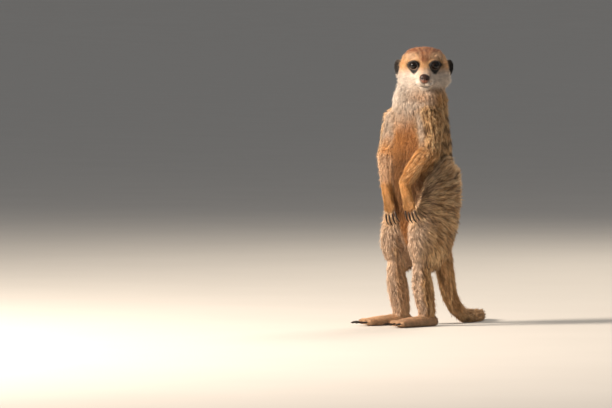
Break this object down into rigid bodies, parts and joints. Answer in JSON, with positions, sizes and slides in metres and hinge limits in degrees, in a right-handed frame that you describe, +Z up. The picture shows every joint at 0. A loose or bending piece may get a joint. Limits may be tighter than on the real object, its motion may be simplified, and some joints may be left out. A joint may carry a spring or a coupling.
{
  "type": "meerkat",
  "caption": "Life-size meerkat standing upright on watch, head turned to its left, hands held in front, soles flat on the floor and tail laid behind.",
  "frame": {"origin": "on the floor, under the middle of the whole outline", "axes": "+Z up. The chest and toes face -Y and the animal's left is +X. The head is turned 50 degrees to its left, and the tail lies behind, towards +Y."},
  "size_m": [0.0978, 0.1956, 0.2878],
  "materials": {
    "coat_back": "grizzled grey-brown fur with dark ticking and bands",
    "coat_face": "short pale cream fur with a brown crown and dark eye patches",
    "coat_limb": "golden tan fur",
    "coat_dark": "dark brown fur",
    "ear": "short near-black fur",
    "eye": "wet dark brown",
    "nose_pad": "damp bare skin",
    "claw": "dark horn, slightly polished"
  },
  "bodies": {
    "root": {"trunk": "coat_back", "neck": "coat_face", "head": "coat_face", "nose": "nose_pad", "eye_left": "eye", "eye_right": "eye", "ear_left": "ear", "ear_right": "ear", "upper_arm_left": "coat_back", "upper_arm_right": "coat_back", "forearm_left": "coat_limb", "forearm_right": "coat_limb", "hand_left": "coat_limb", "hand_right": "coat_limb", "thigh_left": "coat_back", "thigh_right": "coat_back", "shank_left": "coat_limb", "shank_right": "coat_limb", "foot_left": "coat_limb", "foot_right": "coat_limb", "tail_base": "coat_limb", "tail_middle": "coat_limb", "tail_tip": "coat_dark", "hand_left_claw_1": "claw", "hand_left_claw_2": "claw", "hand_left_claw_3": "claw", "hand_left_claw_4": "claw", "hand_right_claw_1": "claw", "hand_right_claw_2": "claw", "hand_right_claw_3": "claw", "hand_right_claw_4": "claw", "foot_left_claw_1": "claw", "foot_left_claw_2": "claw", "foot_left_claw_3": "claw", "foot_left_claw_4": "claw", "foot_right_claw_1": "claw", "foot_right_claw_2": "claw", "foot_right_claw_3": "claw", "foot_right_claw_4": "claw"}
  },
  "joints": []
}
